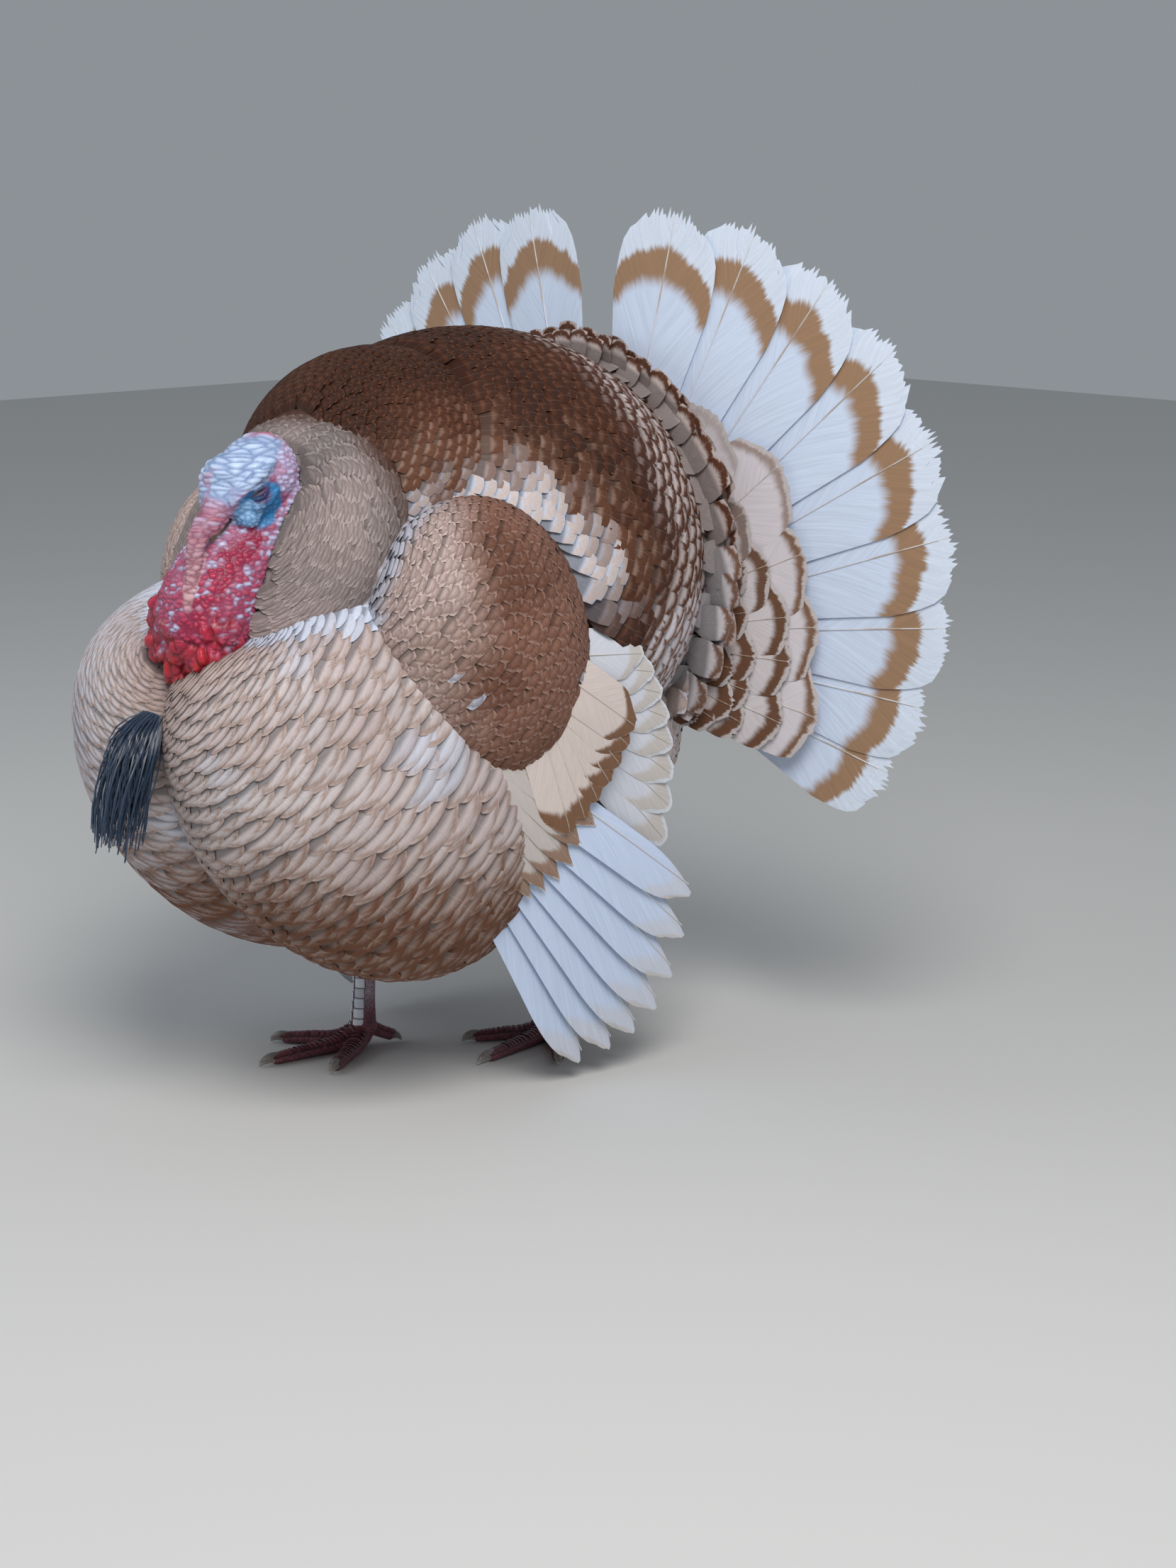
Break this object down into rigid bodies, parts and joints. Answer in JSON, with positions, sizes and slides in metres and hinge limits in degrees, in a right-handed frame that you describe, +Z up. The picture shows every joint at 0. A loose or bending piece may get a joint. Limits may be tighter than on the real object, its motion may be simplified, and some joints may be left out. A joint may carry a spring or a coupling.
{
  "type": "domestic turkey",
  "caption": "Life-size still model of a domestic turkey tom in full strut, with fanned tail, drooped wings, puffed breast and beard.",
  "frame": {"origin": "on the floor, under the middle of the whole bird's plan box", "axes": "the bird faces -Y, its left side is +X, +Z is up"},
  "size_m": [0.7568, 0.6424, 0.7711],
  "materials": {
    "breast_feather": "matt feathers, buff with brown edges",
    "ruff_feather": "matt short feathers, tan-grey",
    "mantle_feather": "soft sheen, dark chestnut with darker tips",
    "shoulder_feather": "soft sheen, chestnut with pale edges",
    "down_feather": "matt fluffy feathers, buff-white",
    "flight_feather": "smooth vane, ivory white",
    "tertial_feather": "smooth vane, tan",
    "covert_feather": "smooth vane, pink-beige with a brown band",
    "undertail_feather": "smooth vane, buff with a brown band",
    "tail_feather": "smooth vane, white with a tan band",
    "crown_skin": "wrinkled bare skin, ice blue",
    "neck_skin": "beaded bare skin, crimson to lilac",
    "caruncle": "moist glossy bulbous skin, red",
    "snood": "soft beaded skin, pink",
    "bill": "horn, dark grey-brown",
    "eye": "wet, near black",
    "beard": "coarse bristles, blue-black",
    "shank": "scaled, pale grey scutes over red-purple skin",
    "toe": "scaled, red-purple, pale horn claws"
  },
  "bodies": {
    "root": {"beak_lower": "bill", "beak_upper": "bill", "beard": "beard", "breast": "breast_feather", "caruncles": "caruncle", "eye_left": "eye", "eye_right": "eye", "foot_left": "toe", "foot_right": "toe", "head": "crown_skin", "neck": "ruff_feather", "neck_skin": "neck_skin", "primary_left_1": "flight_feather", "primary_left_2": "flight_feather", "primary_left_3": "flight_feather", "primary_left_4": "flight_feather", "primary_left_5": "flight_feather", "primary_left_6": "flight_feather", "primary_left_7": "flight_feather", "primary_right_1": "flight_feather", "primary_right_2": "flight_feather", "primary_right_3": "flight_feather", "primary_right_4": "flight_feather", "primary_right_5": "flight_feather", "primary_right_6": "flight_feather", "primary_right_7": "flight_feather", "rump": "down_feather", "shank_left": "shank", "shank_right": "shank", "snood": "snood", "tail_coverts": "covert_feather", "tail_left_1": "tail_feather", "tail_left_2": "tail_feather", "tail_left_3": "tail_feather", "tail_left_4": "tail_feather", "tail_left_5": "tail_feather", "tail_left_6": "tail_feather", "tail_left_7": "tail_feather", "tail_left_8": "tail_feather", "tail_left_9": "tail_feather", "tail_right_1": "tail_feather", "tail_right_2": "tail_feather", "tail_right_3": "tail_feather", "tail_right_4": "tail_feather", "tail_right_5": "tail_feather", "tail_right_6": "tail_feather", "tail_right_7": "tail_feather", "tail_right_8": "tail_feather", "tail_right_9": "tail_feather", "thigh_left": "breast_feather", "thigh_right": "breast_feather", "trunk": "mantle_feather", "undertail_coverts": "undertail_feather", "wing_left_secondaries": "flight_feather", "wing_left_shoulder": "shoulder_feather", "wing_left_tertials": "tertial_feather", "wing_right_secondaries": "flight_feather", "wing_right_shoulder": "shoulder_feather", "wing_right_tertials": "tertial_feather"}
  },
  "joints": []
}
